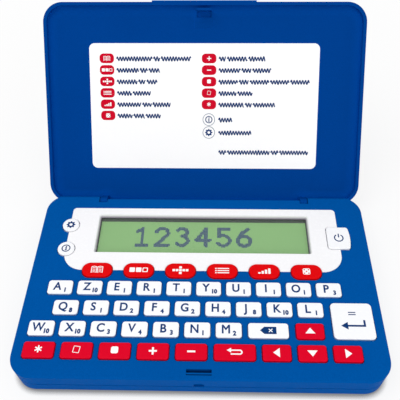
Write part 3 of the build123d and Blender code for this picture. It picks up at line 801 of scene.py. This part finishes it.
def print_keys():
    """Letters with their values, and pictograms on all the other keys."""
    for letter, value in LETTER_VALUES.items():
        prints = [lettering(letter.upper(), LETTER_HEIGHT, *LETTER_AT, LETTER_WEIGHT),
                  lettering(str(value), VALUE_HEIGHT, *VALUE_AT, VALUE_WEIGHT)]
        piece("print_" + letter, joined(prints), NAVY, "key_" + letter, key_face(letter))
    for name in PICTOGRAMS:
        red = name in MENU_KEYS or name in COMMAND_KEYS
        piece("print_" + name, pictogram(name), WHITE if red else NAVY, "key_" + name,
              key_face(name))


# Display

# The pen strokes of each digit, from its near left corner
DIGIT_STROKES = {
    "1": [[(0.9, 7.6), (3.2, 9.6), (3.2, 0)], [(0.9, 0), (5.5, 0)]],
    "2": [[*arc(2.8, 6.9, 2.7, 165, -30), (0.2, 0), (5.6, 0)]],
    "3": [[*arc(2.7, 7.4, 2.2, 150, -90), *arc(2.7, 2.6, 2.6, 90, -150)]],
    "4": [[(4.2, 0), (4.2, 9.6), (0, 3), (5.8, 3)]],
    "5": [[(5.2, 9.6), (0.9, 9.6), (0.6, 5.2), *arc(2.6, 2.9, 2.9, 125, -145)]],
    "6": [arc(2.8, 2.8, 2.8, 0, 360, 24), [(4.7, 9.6), (2.1, 7.4), (0.5, 4.8), (0, 2.8)]],
}

# The near left corner of the first digit, the step to the next, the pen's width and a dot's size
DIGIT_LEFT = -30.2
DIGIT_FRONT = 18.4
DIGIT_ADVANCE = 9.2
DIGIT_STROKE = 1.75
DOT_SIZE = 0.56

# The part of the lattice that is searched for dots: a margin before the digits, and its depth
DIGIT_MARGIN = 2
DIGIT_DEPTH = 12

# How far the painted shadow line reaches in from the rear, the sides and the front of the window
SHADOW_REAR = 3.4
SHADOW_SIDE = 2.2
SHADOW_FRONT = 1.2


def near(point, path, reach):
    """Whether a point is closer than a reach to a line of points."""
    for start, end in zip(path, path[1:]):
        foot, share = geometry.intersect_point_line(point, start, end)
        if 0 <= share <= 1 and (Vector(point) - foot).length < reach:
            return True
    return any((Vector(point) - Vector(end)).length < reach for end in path)


def digit_dots():
    """The centre of every dark dot: those that the strokes of the digits pass over."""
    strokes = [[(DIGIT_LEFT + i * DIGIT_ADVANCE + x, DIGIT_FRONT + y) for x, y in path]
               for i, paths in enumerate(DIGIT_STROKES.values()) for path in paths]
    columns = range(math.floor((DIGIT_LEFT - DIGIT_MARGIN) / DOT_PITCH), math.ceil(-DIGIT_LEFT / DOT_PITCH))
    rows = range(math.floor((DIGIT_FRONT - DIGIT_MARGIN) / DOT_PITCH),
                 math.ceil((DIGIT_FRONT + DIGIT_DEPTH) / DOT_PITCH))
    lattice = [((i + 0.5) * DOT_PITCH, (j + 0.5) * DOT_PITCH) for i in columns for j in rows]
    return [dot for dot in lattice if any(near(dot, path, DIGIT_STROKE / 2) for path in strokes)]


def rectangle(left, right, front, rear):
    return [(left, front), (right, front), (right, rear), (left, rear)]


def dress_display():
    """The dark dots on the glass, and a painted shadow line where the glass meets its frame."""
    _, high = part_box("lcd_module")
    face = Matrix.Translation((0, 0, high.z + LIFT * MM))
    sizes = {"Width": DOT_SIZE, "Depth": DOT_SIZE, "Height": INK_THICK}
    dots = block_tree().run(points_mesh(digit_dots()), SEGMENT, sizes)
    dots.transform(Matrix.Translation((0, 0, INK_THICK / 2)))
    piece("display_digits", dots, SEGMENT, "case", face)

    low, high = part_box("display_window")
    left, right = low.x / MM, high.x / MM
    front, rear = low.y / MM, high.y / MM
    # The painted shadow: a dark frame just inside the window's edge
    outer = rectangle(left, right, front, rear)
    inner = rectangle(left + SHADOW_SIDE, right - SHADOW_SIDE, front + SHADOW_FRONT, rear - SHADOW_REAR)
    piece("display_border", plate([outer, inner]), SHADOW_LINE, "case", face)


# Lid label

# The lid's hinge, the turn that closes the lid, and the directions up the open lid and out of
# its inner face
HINGE = next(joint for joint in frame["joints"] if joint["name"] == "lid_hinge")
HINGE_AT = Vector(HINGE["pos_m"])
LID_TURN = math.radians(HINGE["range_deg"][1])
LID_RISE = Vector((0, -math.cos(LID_TURN), math.sin(LID_TURN)))
LID_FACING = Vector((0, -math.sin(LID_TURN), -math.cos(LID_TURN)))

# The guide's rows and columns of marks, measured across and up from the hinge
ROW_TOP = 65.9
ROW_PITCH = 5.21
LEFT_X = -44.7
RIGHT_X = 2.35
RING_ROWS = (38.1, 32.1)

# The red marks and their signs, the rings and theirs, and the gaps before words and between them
ICON_WIDTH = 6.65
ICON_HEIGHT = 4.35
ICON_ROUND = 1.75
ICON_SCALE = 0.62
RING_RADIUS = 2.85
RING_LINE = 0.25
MARK_SCALE = 0.86
TEXT_GAP = 4.6
TEXT_DROP = 0.2
WORD_GAP = 0.75

# Each line: its sign, its length, and how many letters each of its words has
LEFT_LINES = (
    ("dictionary", 34.0, (12, 2, 10)),
    ("build_word", 19.7, (6, 2, 3)),
    ("place_word", 18.4, (6, 2, 3)),
    ("list", 15.4, (4, 5)),
    ("score", 24.6, (8, 3, 6)),
    ("games", 19.8, (4, 3, 4)),
)
RIGHT_LINES = (
    ("bonus", 21.0, (2, 6, 5)),
    ("deduct", 23.7, (7, 3, 6)),
    ("full_tile", 41.4, (6, 3, 6, 6, 6)),
    ("blank_tile", 15.3, (6, 5)),
    ("any_letter", 25.9, (8, 2, 7)),
)
RING_LINES = (("information", 6.1, (4,)), ("settings", 15.1, (10,)))

# The last line's start across and up, its length and the letters of its words
LAST_LINE = (7.1, 22.75, 41.6, (2, 12, 2, 8))

# The measures of the wavy strokes
WAVE_SIZES = {"Wave Length": 1.3, "Wave Height": 1.6, "Ascent": 0.55,
              "Stroke Width": 0.56, "Ink Height": INK_THICK, "Step": 0.1}


def lid_place(node):
    """The matrix from a drawing on the lid, across and up from the hinge, to the surface of a solid."""
    vertices = frame["nodes"][node].data.vertices
    height = max((vertex.co - HINGE_AT).dot(LID_FACING) for vertex in vertices)
    axes = Matrix((Vector((1, 0, 0)), LID_RISE, LID_FACING)).transposed().to_4x4()
    origin = Vector((0, HINGE_AT.y, HINGE_AT.z)) + LID_FACING * (height + LIFT * MM)
    return Matrix.Translation(origin) @ axes


def word_edges(x, y, length, letters):
    """The start and end of each word on a line, its words as long as their count of letters."""
    unit = (length - WORD_GAP * (len(letters) - 1)) / sum(letters)
    spans = []
    for count in letters:
        spans.append(((x, y), (x + unit * count, y)))
        x += unit * count + WORD_GAP
    return spans


def dress_label():
    """The key guide on the lid: red and ringed pictograms, each with a line of wavy strokes."""
    place = lid_place("lid_label")
    icons, signs, marks, rings, words = [], [], [], [], []
    for column, lines in ((LEFT_X, LEFT_LINES), (RIGHT_X, RIGHT_LINES)):
        for row, (name, length, letters) in enumerate(lines):
            y = ROW_TOP - row * ROW_PITCH
            icons.append(plate([bar(column, y, ICON_WIDTH, ICON_HEIGHT, ICON_ROUND)]))
            signs.append(pictogram(name, ICON_SCALE, column, y))
            words += word_edges(column + TEXT_GAP, y - TEXT_DROP, length, letters)
    for y, (name, length, letters) in zip(RING_ROWS, RING_LINES):
        rings.append(plate([circle(RIGHT_X, y, RING_RADIUS), circle(RIGHT_X, y, RING_RADIUS - RING_LINE)]))
        marks.append(pictogram(name, MARK_SCALE, RIGHT_X, y))
        words += word_edges(RIGHT_X + TEXT_GAP, y - TEXT_DROP, length, letters)
    words += word_edges(*LAST_LINE)
    ends = [end for word in words for end in word]
    edges = [(2 * i, 2 * i + 1) for i in range(len(words))]
    strokes = wave_tree().run(points_mesh(ends, edges), NAVY, WAVE_SIZES)
    strokes.transform(Matrix.Translation((0, 0, INK_THICK / 2)))
    over_icons = place @ Matrix.Translation((0, 0, INK_THICK * MM))
    piece("label_icons", joined(icons), RED, "lid", place)
    piece("label_signs", joined(signs), WHITE, "lid", over_icons)
    piece("label_rings", joined(rings), GREY, "lid", place)
    piece("label_marks", joined(marks), NAVY, "lid", place)
    piece("label_lines", strokes, NAVY, "lid", place)


# Underside

# A screw: its head, the bevel and the rounding of the head, its shank, its tip and its recess
HEAD_RADIUS = 1.7
HEAD_HEIGHT = 1.2
HEAD_BEVEL = 0.1
HEAD_ROUND = 0.35
SHANK_RADIUS = 1.0
SHANK_TIP = 0.4
RECESS_REACH = 1.05
RECESS_WIDTH = 0.42
RECESS_DEPTH = 0.55

# Corners nearer than this belong to one screw, and the seed of the angles at which they stop
SCREW_APART = 2 * HEAD_RADIUS + 1
SCREW_SEED = 4

# The ridges and the arrow of the battery cover, from its front edge
RIDGES = 7
RIDGE_FRONT = 6.5
RIDGE_PITCH = 1.25
RIDGE_WIDTH = 15.0
RIDGE_DEPTH = 0.55
RIDGE_HEIGHT = 0.15
ARROW_FRONT = 16.5
ARROW = [(-1.6, -0.9), (1.6, -0.9), (0, 0.9)]

# The plus sign of a cell
PLUS_REACH = 2.2
PLUS_WIDTH = 0.7


def lathe(profile, steps=36):
    """A closed solid of revolution about Z, from points (radius, height) that start and end on the axis."""
    form = bmesh.new()
    path = [form.verts.new((radius, 0, height)) for radius, height in profile]
    edges = [form.edges.new(pair) for pair in zip(path, path[1:])]
    bmesh.ops.spin(form, geom=path + edges, axis=(0, 0, 1), cent=(0, 0, 0), angle=2 * math.pi, steps=steps)
    mesh = bpy.data.meshes.new("turned")
    form.to_mesh(mesh)
    form.free()
    return finished(mesh)


def centres(node, apart):
    """The middle of each separate solid of a node, in millimetres."""
    groups = []
    for vertex in node.data.vertices:
        at = vertex.co.xy / MM
        group = next((known for known in groups if (known[0] - at).length < apart), None)
        if group is None:
            groups.append([at])
        else:
            group.append(at)
    spans = [[[point[axis] for point in group] for axis in range(2)] for group in groups]
    return [tuple((min(values) + max(values)) / 2 for values in span) for span in spans]


def screws():
    """Pan-head screws with a cross recess, in place of the plain ones."""
    low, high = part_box("case_screws")
    length = (high.z - low.z) / MM
    head = [(0, 0), (HEAD_RADIUS - HEAD_ROUND, 0), (HEAD_RADIUS - HEAD_BEVEL, HEAD_BEVEL),
            (HEAD_RADIUS, HEAD_ROUND), (HEAD_RADIUS, HEAD_HEIGHT)]
    shank = [(SHANK_RADIUS, HEAD_HEIGHT), (SHANK_RADIUS, length - SHANK_TIP),
             (SHANK_RADIUS - SHANK_TIP, length), (0, length)]
    body = lathe(head + shank)
    cutter = plate([star(4, RECESS_REACH, RECESS_WIDTH)], 2 * RECESS_DEPTH)
    cutter.transform(Matrix.Translation((0, 0, -RECESS_DEPTH)))
    screw, tool = (bpy.data.objects.new("part", mesh) for mesh in (body, cutter))
    for made in (screw, tool):
        bpy.context.scene.collection.objects.link(made)
    cut = screw.modifiers.new("recess", "BOOLEAN")
    cut.operation = "DIFFERENCE"
    cut.object = tool
    places = points_mesh(centres(frame["nodes"]["case_screws"], SCREW_APART))
    mesh = screw_tree().run(places, SCREW, {"Seed": SCREW_SEED, "Screw": screw})
    for made in (screw, tool):
        bpy.data.objects.remove(made)
    made = piece("screws", mesh, SCREW, "case", Matrix.Translation((0, 0, low.z)))
    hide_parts("case_screws")


def battery_signs():
    """Grip ridges and an arrow under the battery cover, and a plus sign under each cell."""
    low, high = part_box("battery_cover")
    middle = (low.x + high.x) / 2 / MM
    front = low.y / MM
    points = [(middle, front + RIDGE_FRONT + RIDGE_PITCH * i) for i in range(RIDGES)]
    sizes = {"Width": RIDGE_WIDTH, "Depth": RIDGE_DEPTH, "Height": RIDGE_HEIGHT}
    ridges = block_tree().run(points_mesh(points), BLUE_CASE, sizes)
    arrow = plate([ARROW], RIDGE_HEIGHT)
    arrow.transform(Matrix.Translation((middle, front + ARROW_FRONT, -RIDGE_HEIGHT / 2)))
    under = joined([ridges, arrow])
    under.transform(Matrix.Translation((0, 0, RIDGE_HEIGHT / 2)))
    place = Matrix.Translation((0, 0, low.z - RIDGE_HEIGHT * MM))
    piece("cover_ridges", finished(under), BLUE_CASE, "battery_door", place)

    low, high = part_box("batteries")
    radius = (high.y - low.y) / 2
    signs = []
    for x in (low.x + radius, high.x - radius):
        place = Matrix.Translation((x / MM, (low.y + radius) / MM, -INK_THICK - LIFT))
        signs.append(moved(plate([star(4, PLUS_REACH, PLUS_WIDTH)]), place))
    piece("cell_signs", joined(signs), GREY, "case", Matrix.Translation((0, 0, low.z)))


# Stage

# The floor in metres: half its width, its height, the distances from the middle between which
# plain white takes over, and the share of white at each
FLOOR_REACH = 4.0
FLOOR_Z = -0.0002
FADE_SPAN = (0.12, 0.35)
FADE_SHARE = (0.8, 1.0)

# The painted contact shadow where the object stands: its width in millimetres, the shares of open space
# that it lies between, and how bright the floor looks at each
CONTACT_REACH = 3.5
CONTACT_SPACE = (0.5, 0.88)
CONTACT_GLOW = (0.2, 1.0)


def combined(tree, operation, first, second):
    """One value from two sockets of a shader tree."""
    made = tree.nodes.new("ShaderNodeMath")
    made.operation = operation
    tree.links.new(first, made.inputs[0])
    tree.links.new(second, made.inputs[1])
    return made.outputs[0]


def blended(tree, share, first, second, output):
    """Mixes two shaders by a share and sends the mix to the output."""
    blend = tree.nodes.new("ShaderNodeMixShader")
    for source, target in zip((share, first, second), blend.inputs):
        tree.links.new(source, target)
    tree.links.new(blend.outputs[0], tree.nodes[output].inputs["Surface"])


def floor():
    """A plain pale floor that keeps the shadow, with a painted contact shadow at the object's foot, and
    fades to white away from the object.
    """
    finish = Finish("pale_floor")
    finish.colour(finish.mix(finish.noise(size=300), srgb(244, 244, 245), srgb(250, 250, 251)))
    finish.set(Roughness=0.7, Specular_IOR_Level=0.2)
    tree = finish.tree
    away = tree.nodes.new("ShaderNodeVectorMath")
    away.operation = "LENGTH"
    finish.link(finish.coordinates(), away.inputs[0])
    fade = finish.span(away.outputs["Value"], FADE_SPAN, FADE_SHARE)
    glow = tree.nodes.new("ShaderNodeEmission")
    # Painted shadow: the floor's glow dims where its ambient occlusion is low, at the object's foot
    strength = finish.span(finish.space(CONTACT_REACH), CONTACT_SPACE, CONTACT_GLOW)
    finish.link(strength, glow.inputs["Strength"])
    rays = tree.nodes.new("ShaderNodeLightPath")
    share = combined(tree, "MULTIPLY", rays.outputs["Is Camera Ray"], fade)
    blended(tree, share, finish.shader.outputs[0], glow.outputs[0], "Material Output")
    mesh = bpy.data.meshes.new("floor")
    corners = rectangle(-FLOOR_REACH, FLOOR_REACH, -FLOOR_REACH, FLOOR_REACH)
    mesh.from_pydata([(*corner, FLOOR_Z) for corner in corners], [], [(0, 1, 2, 3)])
    mesh.materials.append(finish.material)
    made = bpy.data.objects.new("floor", mesh)
    bpy.context.scene.collection.objects.link(made)


def area_lamp(name, place, target, size, power):
    """A round lamp that points at a target, in metres and watts."""
    lamp = bpy.data.lights.new(name, "AREA")
    lamp.shape = "DISK"
    lamp.size = size
    lamp.energy = power
    made = bpy.data.objects.new(name, lamp)
    made.location = place
    made.rotation_mode = "QUATERNION"
    made.rotation_quaternion = (Vector(target) - Vector(place)).to_track_quat("-Z", "Y")
    bpy.context.scene.collection.objects.link(made)


# How bright the room is, how bright it looks to the camera and in reflections, and its colour
AMBIENT = 0.69
SEEN = 1.0
PURE_WHITE = (1, 1, 1, 1)


def studio():
    """A white room with soft lamps from above and from the front."""
    world = bpy.data.worlds.new("studio")
    world.use_nodes = True
    tree = world.node_tree
    room = tree.nodes["Background"]
    seen = tree.nodes.new("ShaderNodeBackground")
    for background, strength in ((room, AMBIENT), (seen, SEEN)):
        background.inputs["Color"].default_value = PURE_WHITE
        background.inputs["Strength"].default_value = strength
    rays = tree.nodes.new("ShaderNodeLightPath")
    share = combined(tree, "MAXIMUM", rays.outputs["Is Camera Ray"], rays.outputs["Is Glossy Ray"])
    share = combined(tree, "MAXIMUM", share, rays.outputs["Is Transmission Ray"])
    blended(tree, share, room.outputs[0], seen.outputs[0], "World Output")
    bpy.context.scene.world = world
    area_lamp("lamp_above", place=(-0.22, -0.1, 0.62), target=(0, 0, 0), size=0.5, power=1.3)
    area_lamp("lamp_front", place=(0.25, -0.55, 0.42), target=(0, 0.05, 0.04), size=0.5, power=1.0)


# Where the camera is, the degrees by which it is turned, and its lens and sensor in millimetres
CAMERA_AT = (0.005884, -0.149656, 0.225901)
CAMERA_YAW = -2.1915
CAMERA_DOWN = 47.834
CAMERA_ROLL = -1.1993
CAMERA_LENS = 55.41
CAMERA_SENSOR = 36

# The nearest and the farthest that it sees, in metres
CAMERA_CLIP = (0.01, 20)


def camera():
    """A camera above the front edge, looking down on the keyboard."""
    yaw, down, roll = map(math.radians, (CAMERA_YAW, CAMERA_DOWN, CAMERA_ROLL))
    ahead = Vector((math.sin(yaw) * math.cos(down), math.cos(yaw) * math.cos(down), -math.sin(down)))
    level = Vector((math.cos(yaw), -math.sin(yaw), 0))
    upright = level.cross(ahead)
    right = level * math.cos(roll) + upright * math.sin(roll)
    up = upright * math.cos(roll) - level * math.sin(roll)
    data = bpy.data.cameras.new("camera")
    data.lens = CAMERA_LENS
    data.sensor_width = CAMERA_SENSOR
    data.clip_start, data.clip_end = CAMERA_CLIP
    made = bpy.data.objects.new("camera", data)
    made.matrix_world = Matrix.Translation(CAMERA_AT) @ Matrix((right, up, -ahead)).transposed().to_4x4()
    bpy.context.scene.collection.objects.link(made)
    bpy.context.scene.camera = made


camera()
studio()
floor()
dress_nodes()
print_keys()
dress_display()
dress_label()
screws()
battery_signs()
bpy.context.scene.view_settings.view_transform = "Standard"
